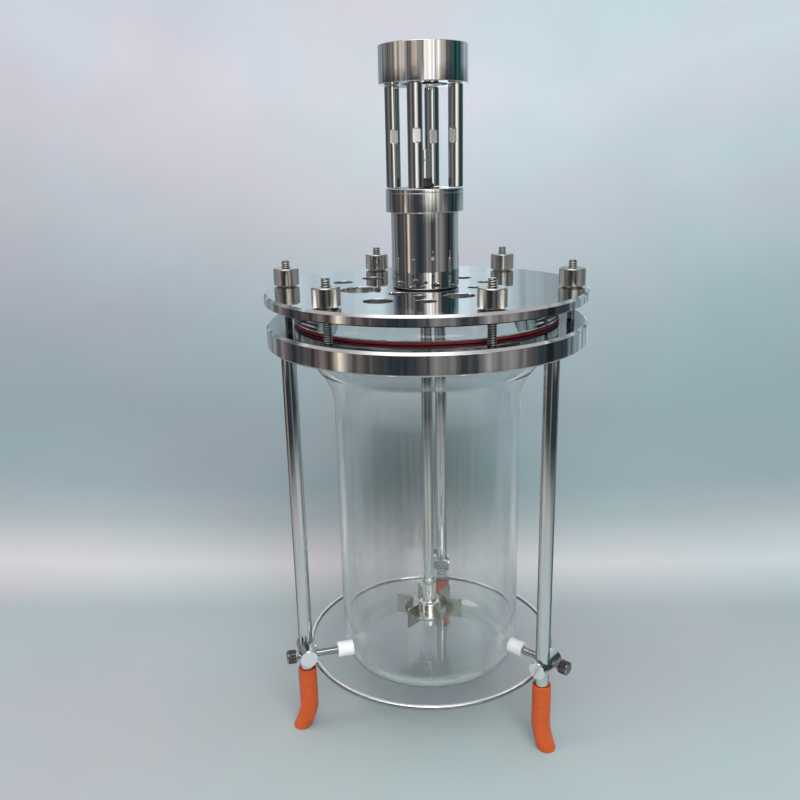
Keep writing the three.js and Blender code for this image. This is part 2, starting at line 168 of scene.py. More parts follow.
def mesh_object(name, bm, material):
    mesh = bpy.data.meshes.new(name)
    bm.to_mesh(mesh)
    bm.free()
    mesh.materials.append(material)
    obj = bpy.data.objects.new(name, mesh)
    bpy.context.scene.collection.objects.link(obj)
    return obj


def piece(name, bm, material, nodes, place=None, sharp=32):
    """Makes the object from a bmesh in millimetres, in place of its CAD nodes."""
    nodes = [nodes] if isinstance(nodes, str) else nodes
    bm.transform(Matrix.Scale(MM, 4) @ (place or Matrix()))
    bmesh.ops.recalc_face_normals(bm, faces=bm.faces)
    for edge in bm.edges:
        edge.smooth = edge.calc_face_angle(0) < math.radians(sharp) and edge.smooth
    for face in bm.faces:
        face.smooth = True
    obj = mesh_object(name, bm, material)
    weighted = obj.modifiers.new("even_normals", "WEIGHTED_NORMAL")
    weighted.keep_sharp = True
    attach(obj, BODY_OF[nodes[0]])
    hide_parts(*nodes)
    return obj


def second_finish(obj, material, wanted):
    """Gives the faces that pass the test another finish."""
    obj.data.materials.append(material)
    last = len(obj.data.materials) - 1
    for face in obj.data.polygons:
        if wanted(face):
            face.material_index = last


def at(x=0.0, y=0.0, z=0.0):
    return Matrix.Translation((x, y, z))


def turn(degrees, axis="Z"):
    return Matrix.Rotation(math.radians(degrees), 4, axis)


# ---------------------------------------------------------------- materials
class Nodes:
    """A material's node tree with short calls for the nodes that are used again and again."""

    def __init__(self, name):
        self.material = bpy.data.materials.new(name)
        self.material.use_nodes = True
        self.tree = self.material.node_tree
        self.shader = self.tree.nodes["Principled BSDF"]

    def new(self, kind, **values):
        node = self.tree.nodes.new(kind)
        for key, value in values.items():
            if key in node.inputs:
                node.inputs[key].default_value = value
            else:
                setattr(node, key, value)
        return node

    def link(self, output, target):
        self.tree.links.new(output, target)

    def set(self, **values):
        for key, value in values.items():
            self.shader.inputs[key.replace("_", " ")].default_value = value

    def noise(self, scale, detail=4.0, stretch=(1, 1, 1)):
        place = self.new("ShaderNodeTexCoord")
        mapping = self.new("ShaderNodeMapping")
        mapping.inputs["Scale"].default_value = stretch
        texture = self.new("ShaderNodeTexNoise", Scale=scale, Detail=detail)
        self.link(place.outputs["Object"], mapping.inputs["Vector"])
        self.link(mapping.outputs["Vector"], texture.inputs["Vector"])
        return texture.outputs["Fac"]

    def spread(self, value, lowest, highest, start=0.3, end=0.7):
        """Maps the stretch from start to end onto lowest to highest."""
        node = self.new("ShaderNodeMapRange")
        node.inputs["From Min"].default_value = start
        node.inputs["From Max"].default_value = end
        node.inputs["To Min"].default_value = lowest
        node.inputs["To Max"].default_value = highest
        self.link(value, node.inputs["Value"])
        return node.outputs["Result"]

    def rise(self, value, start, end):
        """0 at start, 1 at end."""
        return self.spread(value, 0.0, 1.0, start, end)

    def math(self, operation, first, second=None):
        """A sum on sockets or plain numbers."""
        node = self.new("ShaderNodeMath", operation=operation)
        for socket, value in zip(node.inputs, (first, second)):
            if isinstance(value, (int, float)):
                socket.default_value = value
            elif value is not None:
                self.link(value, socket)
        return node.outputs[0]

    def product(self, first, second):
        """Multiplies a colour by another, or by a number."""
        node = self.new("ShaderNodeVectorMath", operation="MULTIPLY")
        self.link(first, node.inputs[0])
        self.link(second, node.inputs[1])
        return node.outputs["Vector"]

    def ramp(self, value, stops):
        """A colour ramp from (place, colour) stops."""
        node = self.new("ShaderNodeValToRGB")
        elements = node.color_ramp.elements
        while len(elements) < len(stops):
            elements.new(0.5)
        for element, (place, color) in zip(elements, stops):
            element.position = place
            element.color = (*color, 1)
        self.link(value, node.inputs["Fac"])
        return node.outputs["Color"]

    def blend(self, share, first, second):
        """Mixes two colours, each a socket or a plain colour."""
        node = self.new("ShaderNodeMix", data_type="RGBA")
        self.link(share, node.inputs["Factor"])
        for socket, value in ((node.inputs[6], first), (node.inputs[7], second)):
            if isinstance(value, tuple):
                socket.default_value = (*value, 1)
            else:
                self.link(value, socket)
        return node.outputs[2]

    def tint(self, value, first, second):
        self.link(self.ramp(value, ((0.3, first), (0.7, second))), self.shader.inputs["Base Color"])

    def gloss(self, value, smoothest, roughest):
        self.link(self.spread(value, smoothest, roughest), self.shader.inputs["Roughness"])

    def bump(self, value, strength, distance):
        node = self.new("ShaderNodeBump", Strength=strength, Distance=distance)
        self.link(value, node.inputs["Height"])
        self.link(node.outputs["Normal"], self.shader.inputs["Normal"])

    def mixed_surface(self, share, first, second):
        """Makes the surface a mix of two shaders."""
        mix = self.new("ShaderNodeMixShader")
        self.link(share, mix.inputs["Fac"])
        self.link(first, mix.inputs[1])
        self.link(second, mix.inputs[2])
        self.surface(mix.outputs["Shader"])

    def surface(self, output):
        self.link(output, self.tree.nodes["Material Output"].inputs["Surface"])


def steel(name, color, roughness, wave=0.25, stretch=(1, 1, 1), edge=1.0, metallic=1.0):
    """Polished or turned stainless: faint hand marks in the gloss and a slight wave in the surface."""
    n = Nodes(name)
    n.set(Metallic=metallic, Specular_Tint=(edge, edge, edge, 1))
    dull = tuple(c * 0.94 for c in color)
    n.tint(n.noise(60, 5, stretch), dull, color)
    n.gloss(n.noise(90, 6, stretch), roughness * 0.7, roughness * 1.5)
    n.bump(n.noise(35, 3, stretch), wave, 0.0004)
    return n.material


def clear_glass():
    """Borosilicate glass with blown waves and a faint wiped film."""
    n = Nodes("borosilicate")
    n.set(Base_Color=(0.97, 0.99, 0.985, 1), Transmission_Weight=1.0, IOR=1.47, Roughness=0.0)
    n.bump(n.noise(18, 2, (1, 1, 0.35)), 0.12, 0.0006)
    film = n.new("ShaderNodeBsdfDiffuse", Color=(0.92, 0.94, 0.95, 1))
    wiped = n.spread(n.noise(30, 6, (1, 1, 0.3)), 0.0, 0.02, 0.48, 0.72)
    n.mixed_surface(wiped, n.shader.outputs["BSDF"], film.outputs["BSDF"])
    return n.material


def silicone(name, color, roughness, subsurface=0.0):
    n = Nodes(name)
    n.set(Subsurface_Weight=subsurface, Subsurface_Radius=(0.6, 0.2, 0.1), Subsurface_Scale=0.004)
    n.tint(n.noise(160, 5), tuple(c * 0.86 for c in color), color)
    n.gloss(n.noise(420, 4), roughness * 0.8, roughness * 1.25)
    n.bump(n.noise(900, 3), 0.15, 0.0002)
    return n.material


def clear_silicone():
    n = Nodes("clear_silicone")
    n.set(Transmission_Weight=0.85, IOR=1.41)
    n.tint(n.noise(200, 4), (0.78, 0.80, 0.79), (0.90, 0.91, 0.90))
    n.gloss(n.noise(500, 3), 0.22, 0.34)
    return n.material


def turned_plastic():
    n = Nodes("white_ptfe")
    n.tint(n.noise(120, 4), (0.80, 0.81, 0.81), (0.90, 0.90, 0.89))
    n.set(Roughness=0.42, Subsurface_Weight=0.1, Subsurface_Scale=0.003)
    n.bump(n.noise(700, 3), 0.12, 0.0002)
    return n.material


POLISHED = steel("polished_steel", (0.80, 0.79, 0.775), 0.025)
BRIGHT_BAR = steel("drawn_bar", (0.78, 0.77, 0.755), 0.04, 0.15, (1, 1, 0.1), edge=0.3)
# Painted shade: a darker copy of the drawn bar steel, for the wire ring and the support screws.
DARK_BAR = steel("bar_steel_painted_shade", (0.46, 0.45, 0.46), 0.05, 0.15, edge=0.3)
TURNED = steel("turned_steel", (0.76, 0.745, 0.72), 0.16, 0.2)
KNURLED = steel("knurled_steel", (0.66, 0.64, 0.60), 0.04, 0.1)
LID_FACE = steel("lid_face_steel", (0.69, 0.70, 0.70), 0.025, 0.25)
# Bright faced steel: the cross bosses' faced ends, and a painted highlight on the wire ring's upward
# faces.
FACED_AND_HIGHLIGHT = steel("faced_steel_and_painted_highlight", (0.93, 0.92, 0.90), 0.12, 0.2, metallic=0.75)
THREADED = steel("threaded_steel", (0.66, 0.65, 0.62), 0.10, 0.1)
# Painted shade: near-black steel laid in knurl grooves, thread roots and downward knurl facets, where
# shade falls.
GROOVE_SHADE = steel("groove_shadow_steel", (0.10, 0.10, 0.105), 0.25, 0.1)
# Painted shade: a dark steel for the support ring's top face, standing in for the dark lid underside
# mirrored in it.
SHADED = steel("ring_top_painted_shade", (0.24, 0.26, 0.27), 0.07, 0.2)
MILLED = steel("milled_steel", (0.92, 0.92, 0.89), 0.3, 0.6, metallic=0.85)
# Painted shade on the impeller's disc and blades, painted highlight on its hub: a dark and a bright copy
# of the steel.
BLADED = steel("turbine_steel_painted_shade", (0.46, 0.44, 0.39), 0.24, 0.2)
HUBBED = steel("hub_steel_painted_highlight", (0.92, 0.90, 0.86), 0.08, 0.2)
GLASS = clear_glass()
ORANGE = silicone("orange_silicone", (0.66, 0.10, 0.012), 0.36, 0.15)
RED = silicone("red_silicone", (0.25, 0.028, 0.035), 0.45)
BLACK = silicone("black_rubber", (0.016, 0.016, 0.018), 0.5)
WHITE = turned_plastic()
CLEAR = clear_silicone()


# ---------------------------------------------------------------- lid, ring and vessel
LID_R = radius("lid_plate")
LID_BOTTOM, LID_TOP = heights("lid_plate")
CHAMFER_BELOW = 0.4       # the lower chamfer of a rim or bore, as a share of the upper one
STUD_HOLE_R = 3.4
SPIGOT_STEP = 4.6         # how far the housing's hole in the lid is inside the housing's wall
PORTS = (                 # place and diameter of each port: x, y, d
    (-61.6, 16.9, 14.3), (-42.0, -17.1, 27.7), (-22.0, -62.1, 19.0), (-44.0, 37.5, 15.7),
    (-14.4, -33.2, 11.8), (0.9, -42.0, 9.3), (7.7, -61.7, 13.5), (26.5, -40.2, 19.7),
    (34.0, -5.0, 10.0), (21.9, 40.8, 13.0), (39.0, 20.0, 10.0),
)


def plate_edge(size, top, bottom, chamfer):
    """Outline from the top face round to the bottom face, for a rim (chamfer > 0) or a bore (< 0)."""
    return [
        (size - chamfer, top), (size, top - abs(chamfer)),
        (size, bottom + abs(chamfer) * CHAMFER_BELOW), (size - chamfer * CHAMFER_BELOW, bottom),
    ]


def port_wall(size, top, bottom):
    """A port's reamed bore with a small chamfer at both ends."""
    return [(size + 0.3, top), (size, top - 0.3), (size, bottom + 0.5), (size + 0.5, bottom)]


def drilled_plate(walls):
    """A flat plate from its walls, each (x, y, sides, [(radius, height), ...]) from the top face down."""
    bm = bmesh.new()
    tops, bottoms = [], []
    for x, y, count, wall in walls:
        move = at(x, y)
        rings = [ring(bm, r, z, count, lambda p: move @ p) for r, z in wall]
        for upper, lower in zip(rings, rings[1:]):
            bridge(bm, lower, upper)
        tops.append(rings[0])
        bottoms.append(rings[-1])
    for loops, up in ((tops, 1), (bottoms, -1)):
        edges = [bm.edges.get((a, b)) for loop in loops for a, b in zip(loop, loop[1:] + loop[:1])]
        bmesh.ops.triangle_fill(bm, edges=edges, use_beauty=True, normal=(0, 0, up))
        for edge in edges:
            edge.smooth = False
    return bm


def lid_plate():
    walls = [(0, 0, 192, plate_edge(LID_R, LID_TOP, LID_BOTTOM, 1.6))]
    walls += [(x, y, 64, port_wall(d / 2, LID_TOP, LID_BOTTOM)) for x, y, d in PORTS]
    for k in range(1, 7):
        stud = centre(f"stud_{k}")
        walls.append((stud.x, stud.y, 32, plate_edge(STUD_HOLE_R, LID_TOP, LID_BOTTOM, -0.3)))
    housing_hole = radius("drive_housing") - SPIGOT_STEP
    walls.append((0, 0, 96, plate_edge(housing_hole, LID_TOP, LID_BOTTOM, -0.3)))
    lid = piece("head_plate", drilled_plate(walls), POLISHED, "lid_plate")

    def in_port(face):
        return abs(face.normal.z) < 0.5 and face.center.xy.length / MM < LID_R - 3

    second_finish(lid, TURNED, in_port)
    second_finish(lid, LID_FACE, lambda face: face.normal.z > 0.95)


def clamp_ring():
    bottom, top = heights("clamp_ring")
    size = radius("clamp_ring")
    bore, lead_in = 82, 3
    chamfer, chamfer_below = 1.8, 1.0
    outline = [
        (bore, bottom), (size - chamfer_below, bottom), (size, bottom + chamfer_below),
        (size, top - chamfer), (size - chamfer, top), (bore + lead_in, top), (bore, top - lead_in),
    ]
    ring_piece = piece("support_ring", revolve(soften(outline, 0.2), 256), POLISHED, "clamp_ring")
    # The ring's top face gets the dark steel as painted shade.
    second_finish(ring_piece, SHADED, lambda face: face.normal.z > 0.95)


def vessel():
    """Blown glass: body, rounded bottom, flared neck and thick ground flange."""
    bottom, top = heights("glass_vessel")
    flange_r = radius("glass_vessel")
    body_r, neck_r, wall, knuckle = 66, 80, 4, 17
    flare_z, hollow, crown, lip = 240, 50, 20, 1.6
    edge, inner_edge, sag = 0.9, 0.8, 1.2
    meet = math.acos((body_r + hollow - neck_r + crown) / (hollow + crown))
    crown_z = flare_z + (hollow + crown) * math.sin(meet)
    bend = math.degrees(meet)
    under_flange = high("flange_gasket").z + 0.2
    outer = arc(body_r - knuckle, bottom + knuckle, knuckle, -90, 0, 20)
    outer += arc(body_r + hollow, flare_z, hollow, 180, 180 - bend, 18)
    outer += arc(neck_r - crown, crown_z, crown, -bend, 0, 14)[1:]
    rim = arc(neck_r + lip, under_flange - lip, lip, 180, 90, 6)
    rim += [(flange_r - edge, under_flange), (flange_r, under_flange + edge), (flange_r, top - edge)]
    rim += [(flange_r - edge, top), (neck_r - wall + inner_edge, top), (neck_r - wall, top - inner_edge)]
    inner = arc(neck_r - crown, crown_z, crown - wall, 0, -bend, 12)
    inner += arc(body_r + hollow, flare_z, hollow + wall, 180 - bend, 180, 18)[1:]
    inner += arc(body_r - knuckle, bottom + knuckle, knuckle - wall, 0, -90, 16)
    outline = [(0, bottom + sag), *outer, *rim, *inner, (0, bottom + wall + sag)]
    piece("culture_vessel", revolve(outline, 192), GLASS, "glass_vessel", sharp=50)


def flat_seals():
    bottom, top = heights("flange_gasket")
    size, bore = radius("flange_gasket"), 86
    outline = soften([(bore, bottom), (size, bottom), (size, top), (bore, top)], 0.5)
    piece("flat_gasket", revolve(outline, 192), RED, "flange_gasket")
    o_ring("lid_seal", "lid_oring", 1.6, CLEAR)
    o_ring("housing_seal", "housing_oring", 0.3, BLACK)


def o_ring(name, node, wire, material):
    z = low(node).z + wire
    outline = arc(radius(node) - wire, z, wire, 0, 345, 23)
    piece(name, revolve(outline, 160), material, node)


# ---------------------------------------------------------------- studs and knurled nuts
STUD_R, STUD_PITCH = 2.98, 1.5
END_CHAMFER = 0.8
NUT_TURN = 17


def threaded_bar(size, bottom, top, pitch, sides=24, rows=8):
    """A bar with a helical thread and a chamfer at both ends."""
    bm = bmesh.new()
    depth = 0.5 * pitch
    count = int((top - bottom) / pitch * rows)
    rings = []
    for j in range(count + 1):
        z = bottom + (top - bottom) * j / count
        inset = max(0.0, END_CHAMFER - min(z - bottom, top - z))
        loop = []
        for k in range(sides):
            phase = (z / pitch - k / sides) % 1
            r = size - depth * min(1.0, max(0.0, 1.25 * abs(2 * phase - 1) - 0.25))
            r = min(r, size - inset)
            a = 2 * math.pi * k / sides
            loop.append(bm.verts.new((r * math.cos(a), r * math.sin(a), z)))
        rings.append(loop)
    for lower, upper in zip(rings, rings[1:]):
        bridge(bm, lower, upper)
    cap_ends(bm, rings)
    return bm


def knurl(size, bottom, top, teeth, depth=0.35, land=0.34):
    """A band of diamond knurling: flat-topped diamonds between two sets of crossing grooves."""
    bm = bmesh.new()
    pitch = 2 * math.pi * size / teeth
    rows = max(2, round((top - bottom) / pitch) * 2)
    step_a, step_z = math.pi / teeth, (top - bottom) / rows
    reach = land * 1.6

    def point(i, j, r):
        return bm.verts.new((r * math.cos(i * step_a), r * math.sin(i * step_a), bottom + j * step_z))

    corner = {}

    def groove(i, j):
        key = (i % (2 * teeth), j)
        if key not in corner:
            corner[key] = point(key[0], j, size - depth)
        return corner[key]

    for j in range(rows + 1):
        for i in range(2 * teeth):
            if (i + j) % 2 == 0:
                continue
            around = [(i + 1, j), (i, j + 1), (i - 1, j), (i, j - 1)]
            around = [(a, min(max(b, 0), rows)) for a, b in around]
            outer = [groove(a, b) for a, b in around]
            tops = [point(i + (a - i) * reach, j + (b - j) * reach, size) for a, b in around]
            if j in (0, rows):
                keep = [k for k in range(4) if around[k][1] != j or around[k][0] != i]
                loop = [outer[k] for k in keep]
                roof = [tops[k] for k in keep]
                bm.faces.new(roof)
                for k in range(len(keep) - 1):
                    bm.faces.new([loop[k], loop[k + 1], roof[k + 1], roof[k]])
                continue
            bm.faces.new(tops)
            for k in range(4):
                bm.faces.new([outer[k], outer[(k + 1) % 4], tops[(k + 1) % 4], tops[k]])
    return bm


def thumb_nut(number):
    node = f"thumb_nut_{number}"
    bottom, top = heights(node)
    size = radius(node)
    core, bore = size - 0.25, 3.2
    band_bottom, band_top = bottom + 0.75, top - 0.6
    outline = soften([
        (bore, bottom), (size - 1.3, bottom), (size - 1.3, bottom + 0.45), (core, band_bottom),
        (core, band_top), (size - 0.8, top), (bore + 0.7, top), (bore, top - 0.7),
    ], 0.2, 2)
    body = revolve(outline, 64)
    band = knurl(size, band_bottom, band_top, 30, 0.5, 0.24)
    place = at(centre(node).x, centre(node).y) @ turn(NUT_TURN * number)
    nut = piece(f"knurled_nut_{number}", merge(body, band), KNURLED, node, place, sharp=24)

    # The knurl's downward facets get the dark steel as painted shade.
    def faces_down(face):
        return face.normal.z < -0.2 and bottom + 1 < face.center.z / MM < top - 0.8

    second_finish(nut, GROOVE_SHADE, faces_down)


def off_axis(face, axis):
    """How far a face's middle is from an upright axis, in millimetres."""
    return math.hypot(face.center.x / MM - axis.x, face.center.y / MM - axis.y)


def threaded_stud(number):
    node = f"stud_{number}"
    bottom, top = heights(node)
    axis = centre(node)
    bar = threaded_bar(STUD_R, bottom, top, STUD_PITCH)
    stud = piece(f"threaded_stud_{number}", bar, THREADED, node, at(axis.x, axis.y), sharp=50)

    # The thread roots get the dark steel as painted shade.
    def in_root(face):
        return off_axis(face, axis) < STUD_R - 0.38 and abs(face.normal.z) < 0.95

    second_finish(stud, GROOVE_SHADE, in_root)


# ---------------------------------------------------------------- legs, sleeves, base ring
LEG_ANGLES = {1: 90, 2: 210, 3: 330}
# How far each sleeve's foot leans, and towards which side of its leg.
SLEEVE_LEANS = {1: (5, 0), 2: (6.5, -30), 3: (5.5, 0)}
LEG_FOOT = low("leg_1").z


def leg(number):
    """A plain rod with eased ends."""
    node = f"leg_{number}"
    bottom, top = heights(node)
    size = radius(node)
    outline = soften([(0, bottom), (size, bottom), (size, top), (0, top)], 0.6)
    place = at(centre(node).x, centre(node).y)
    piece(f"support_leg_{number}", revolve(outline, 48), BRIGHT_BAR, node, place)


def foot_sleeve(number):
    """A silicone sleeve, straight on the leg and leaning out below its end."""
    node = f"foot_tube_{number}"
    top = high(node).z
    outer, bore, steps = 6.7, 5.2, 14
    levels = [LEG_FOOT * k / steps for k in range(1, steps)]
    outline = [(bore, 0), (outer - 1.2, 0), (outer - 0.4, 0.25), (outer, 0.9)]
    outline += [(outer, z) for z in levels]
    outline += [(outer, top - 1.0), (outer - 0.25, top - 0.35), (outer - 0.7, top), (bore + 0.2, top)]
    outline += [(bore, top - 0.3)]
    outline += [(bore, z) for z in reversed(levels)]
    straight = LEG_FOOT - 1
    amount, towards = SLEEVE_LEANS[number]
    sideways = turn(towards).to_3x3() @ Vector((amount, 0, 0))

    def lean(point):
        below = max(0.0, straight - point.z) / straight
        return point + sideways * below ** 1.5

    leg_axis = centre(f"leg_{number}")
    place = at(leg_axis.x, leg_axis.y) @ turn(LEG_ANGLES[number])
    piece(f"silicone_foot_{number}", revolve(outline, 56, lean), ORANGE, node, place)


def base_ring():
    """The bent wire, in the darker bar steel that is painted shade, with its upward faces given bright
    steel as a painted highlight.
    """
    node = "base_ring"
    wire = 1.7
    outline = arc(radius(node) - wire, centre(node).z, wire, 0, 337.5, 15)
    wire_piece = piece("wire_ring", revolve(outline, 256), DARK_BAR, node)
    # The wire's upward faces get the bright steel as a painted highlight.
    second_finish(wire_piece, FACED_AND_HIGHLIGHT, lambda face: face.normal.z > 0.6)


# ---------------------------------------------------------------- clamps against the glass
def screw_axis(number):
    """The support screw's joint axis, pointing away from the vessel."""
    joint = next(j for j in frame["joints"] if j["name"] == f"support_{number}_feed")
    return Vector(joint["axis"]).normalized()


def clamp_place(number):
    """Frame of a clamp: Z up the leg, X away from the vessel along the screw."""
    leg_axis = centre(f"leg_{number}")
    out = screw_axis(number)
    heading = math.degrees(math.atan2(out.y, out.x))
    return at(leg_axis.x, leg_axis.y, centre(f"clamp_boss_{number}").z) @ turn(heading)


BOSS_R, BOSS_NEAR, BOSS_FAR = 6.5, -7.5, 16
SCREW_OFFSET, SCREW_R, SCREW_REACH = 9, 2.5, 48.5
KNOB_LONG, KNOB_R = 7, 4.8
PAD_R, PAD_LONG, PAD_SOCKET = 5.5, 11.5, 5


def cross_boss(number, place):
    boss = revolve(soften([
        (0, BOSS_NEAR), (BOSS_R, BOSS_NEAR), (BOSS_R, BOSS_FAR), (0, BOSS_FAR),
    ], 0.8, 3), 64)
    boss = piece(f"cross_boss_{number}", boss, POLISHED, f"clamp_boss_{number}", place @ turn(-90, "X"))
    along_boss = (place.to_3x3() @ Vector((0, 1, 0))).normalized()
    second_finish(boss, FACED_AND_HIGHLIGHT, lambda face: abs(face.normal.dot(along_boss)) > 0.9)


def boss_grub(number, place):
    inner, outer, size, socket = 5.3, 7.6, 1.7, 0.9
    grub = revolve(soften([
        (0, inner), (size, inner), (size, outer), (socket, outer), (socket, outer - 1), (0, outer - 1),
    ], 0.15, 2), 24)
    piece(f"grub_screw_{number}", grub, TURNED, f"clamp_set_screw_{number}", place @ turn(-90, "Y"))


def pad_front(number, place):
    """Where the pad's face against the glass lies along the screw."""
    front = centre(f"support_pad_{number}") - PAD_LONG / 2 * screw_axis(number)
    return (place.inverted() @ front).x


def support_screw(number, place, front):
    """A plain rod from inside the pad to the knurled knob."""
    end = front + SCREW_REACH
    knob, start = end - KNOB_LONG, front + PAD_SOCKET + 0.2
    collar, core = 3.4, KNOB_R - 0.45
    rod = revolve(soften([
        (0, start), (SCREW_R, start), (SCREW_R, knob - 1.2), (collar, knob - 1.2),
        (collar, knob), (core, knob), (core, end - 0.7), (3.7, end), (0, end),
    ], 0.25, 2), 40)
    band_start, band_end = knob + 0.6, end - 0.9
    band = knurl(KNOB_R, band_start, band_end, 26, 0.35)
    # The rod and knob are in the darker bar steel, which is painted shade.
    screw = piece(f"knurled_screw_{number}", merge(rod, band), DARK_BAR, f"support_screw_{number}", place)
    to_screw = place.inverted()

    # The knurl grooves get the dark steel as painted shade.
    def in_groove(face):
        spot = to_screw @ (face.center / MM)
        return band_start < spot.z < band_end and 4.4 < spot.xy.length < KNOB_R - 0.08

    second_finish(screw, GROOVE_SHADE, in_groove)


def glass_pad(number, place, front):
    back, bore, socket = front + PAD_LONG, 2.8, front + PAD_SOCKET
    pad = revolve(soften([
        (0, front), (PAD_R, front), (PAD_R, back), (bore, back), (bore, socket), (0, socket),
    ], 0.6, 3), 56)
    piece(f"glass_pad_{number}", pad, WHITE, f"support_pad_{number}", place)


def clamp(number):
    place = clamp_place(number)
    cross_boss(number, place)
    boss_grub(number, place)
    front = pad_front(number, place)
    along_screw = place @ at(0, SCREW_OFFSET, 0) @ turn(90, "Y")
    support_screw(number, along_screw, front)
    glass_pad(number, along_screw, front)


# ---------------------------------------------------------------- stirrer drive
def housing():
    bottom, top = heights("drive_housing")
    size = radius("drive_housing")
    bore, spigot = 5.2, size - 5
    base = LID_TOP + 0.3
    foot = base + 0.45
    outline = [
        (bore, bottom), (spigot, bottom), (spigot, foot), (size - 0.8, foot),
        (size, base + 0.8), (size, top), (bore, top),
    ]
    piece("bearing_housing", revolve(soften(outline, 0.3), 160), POLISHED, "drive_housing")


def collar():
    """The housing's upper collar, with a fine turned line round it and a seat for the upper seal."""
    bottom, top = heights("housing_collar")
    size = radius("housing_collar")
    bore, seat, seat_deep = 7, 11.3, 12.3
    line, edge = top - 2.75, 0.4
    outline = [
        (bore, bottom), (size - 0.35, bottom), (size, bottom + 0.35), (size, line - 0.2),
        (size - 0.25, line), (size, line + 0.2), (size, top - edge),
        (size - edge, top), (seat, top), (seat, top - seat_deep), (bore, top - seat_deep),
    ]
    piece("drive_collar", revolve(soften(outline, 0.12, 2), 160), POLISHED, "housing_collar")


# The milled flats for a spanner: the way they face on each pillar, their heights and half width.
FLAT_HEADINGS = {1: -116, 2: -67, 3: -67, 4: -67}
FLAT_BOTTOM, FLAT_TOP, FLAT_HALF = 418.5, 427.5, 4.0


def pillar(number):
    node = f"pillar_{number}"
    bottom, top = heights(node)
    size, edge, slope, sides = radius(node), 0.5, 0.8, 64
    bm = bmesh.new()
    stations = [
        (bottom, size - edge, size), (bottom + edge, size, size),
        (FLAT_BOTTOM, size, size), (FLAT_BOTTOM + slope, size, FLAT_HALF),
        (FLAT_TOP - slope, size, FLAT_HALF), (FLAT_TOP, size, size),
        (top - edge, size, size), (top, size - edge, size),
    ]
    rings = []
    for z, r, limit in stations:
        loop = []
        for k in range(sides):
            a = 2 * math.pi * (k + 0.5) / sides
            y = max(-limit, min(limit, r * math.sin(a)))
            loop.append(bm.verts.new((r * math.cos(a), y, z)))
        rings.append(loop)
    for lower, upper in zip(rings, rings[1:]):
        bridge(bm, lower, upper)
    cap_ends(bm, rings)
    place = at(centre(node).x, centre(node).y) @ turn(FLAT_HEADINGS[number] - 90)
    obj = piece(f"cage_pillar_{number}", bm, BRIGHT_BAR, node, place)
    across = (place.to_3x3() @ Vector((0, 1, 0))).normalized()

    def on_flat(face):
        return FLAT_BOTTOM < face.center.z / MM < FLAT_TOP and abs(face.normal.dot(across)) > 0.97

    second_finish(obj, MILLED, on_flat)


def motor_ring():
    bottom, top = heights("motor_ring")
    size = radius("motor_ring")
    bore, seat, seat_deep, edge = 15.2, 24.5, 6, 0.35
    outline = [
        (bore + 1.3, bottom), (size - edge, bottom), (size, bottom + edge), (size, top - edge),
        (size - edge, top), (seat, top), (seat, top - seat_deep), (bore, top - seat_deep),
        (bore, bottom + 1.3),
    ]
    piece("motor_mount", revolve(soften(outline, 0.25, 2), 160), POLISHED, "motor_ring")


SHAFT_BORE = 4.3


def ball_bearing(name, node):
    """Inner race, recessed shield and outer race in one outline."""
    bottom, top = heights(node)
    size = radius(node)
    inner, shield_in, shield_out, outer, recess = 6.2, 6.4, 8.8, 9.0, 0.7
    outline = soften([
        (SHAFT_BORE, bottom), (inner, bottom), (shield_in, bottom + recess),
        (shield_out, bottom + recess), (outer, bottom), (size, bottom), (size, top), (outer, top),
        (shield_out, top - recess), (shield_in, top - recess), (inner, top), (SHAFT_BORE, top),
    ], 0.2, 2)
    piece(name, revolve(outline, 64), TURNED, node)


def bearing_cover():
    bottom, top = heights("bearing_cover")
    size = 10.8
    cover = soften([(SHAFT_BORE, bottom), (size, bottom), (size, top), (SHAFT_BORE, top)], 0.4)
    piece("seal_carrier", revolve(cover, 64), TURNED, "bearing_cover")


def lip_seal():
    bottom, top = heights("shaft_seal")
    size, body = 9, 6.3
    lip = soften([(body, bottom), (size, bottom), (size, top), (body, top), (SHAFT_BORE, top - 1)], 0.3)
    piece("lip_seal", revolve(lip, 64), BLACK, "shaft_seal")


def shaft_boot():
    bottom, top = heights("drive_seal")
    bore, foot, neck = 3.4, 6.4, 4.8
    boot = soften([
        (bore, bottom), (foot, bottom), (foot, bottom + 1.6), (neck + 0.4, bottom + 3),
        (neck, top), (bore, top),
    ], 0.5)
    piece("shaft_boot", revolve(boot, 64), BLACK, "drive_seal")


def shaft():
    bottom, top = heights("stirrer_shaft")
    shoulder = high("housing_collar").z
    size, neck = 4, 3
    outline = soften([
        (0, bottom), (size, bottom), (size, shoulder - 0.2), (neck, shoulder + 0.6), (neck, top), (0, top),
    ], 0.5)
    piece("agitator_shaft", revolve(outline, 64), BRIGHT_BAR, "stirrer_shaft")


def cross_pin():
    half, size = 5.5, 1
    pin = revolve(soften([(0, -half), (size, -half), (size, half), (0, half)], 0.25), 24)
    piece("cross_pin", pin, TURNED, "drive_pin", at(0, 0, centre("drive_pin").z) @ turn(90, "X"))


# ---------------------------------------------------------------- impeller
BLADES, BLADE_PHASE = 6, -3
BLADE_LONG, BLADE_THICK, BLADE_TALL = 12.5, 1.6, 15
HUB_BOTTOM, HUB_SHOULDER, HUB_TOP = 68.6, 84, 104
HUB_R, SLEEVE_R = 7.5, 5.0
DISC_BOTTOM, DISC_TOP, DISC_R = 77, 79, 18.75


def blade():
    bm = bmesh.new()
    size = Matrix.Diagonal((BLADE_LONG, BLADE_THICK, BLADE_TALL, 1))
    bmesh.ops.create_cube(bm, size=1, matrix=at(DISC_R, 0, DISC_TOP + 0.5) @ size)
    bmesh.ops.bevel(bm, geom=bm.edges[:], offset=0.3, segments=2, affect="EDGES")
    return bm


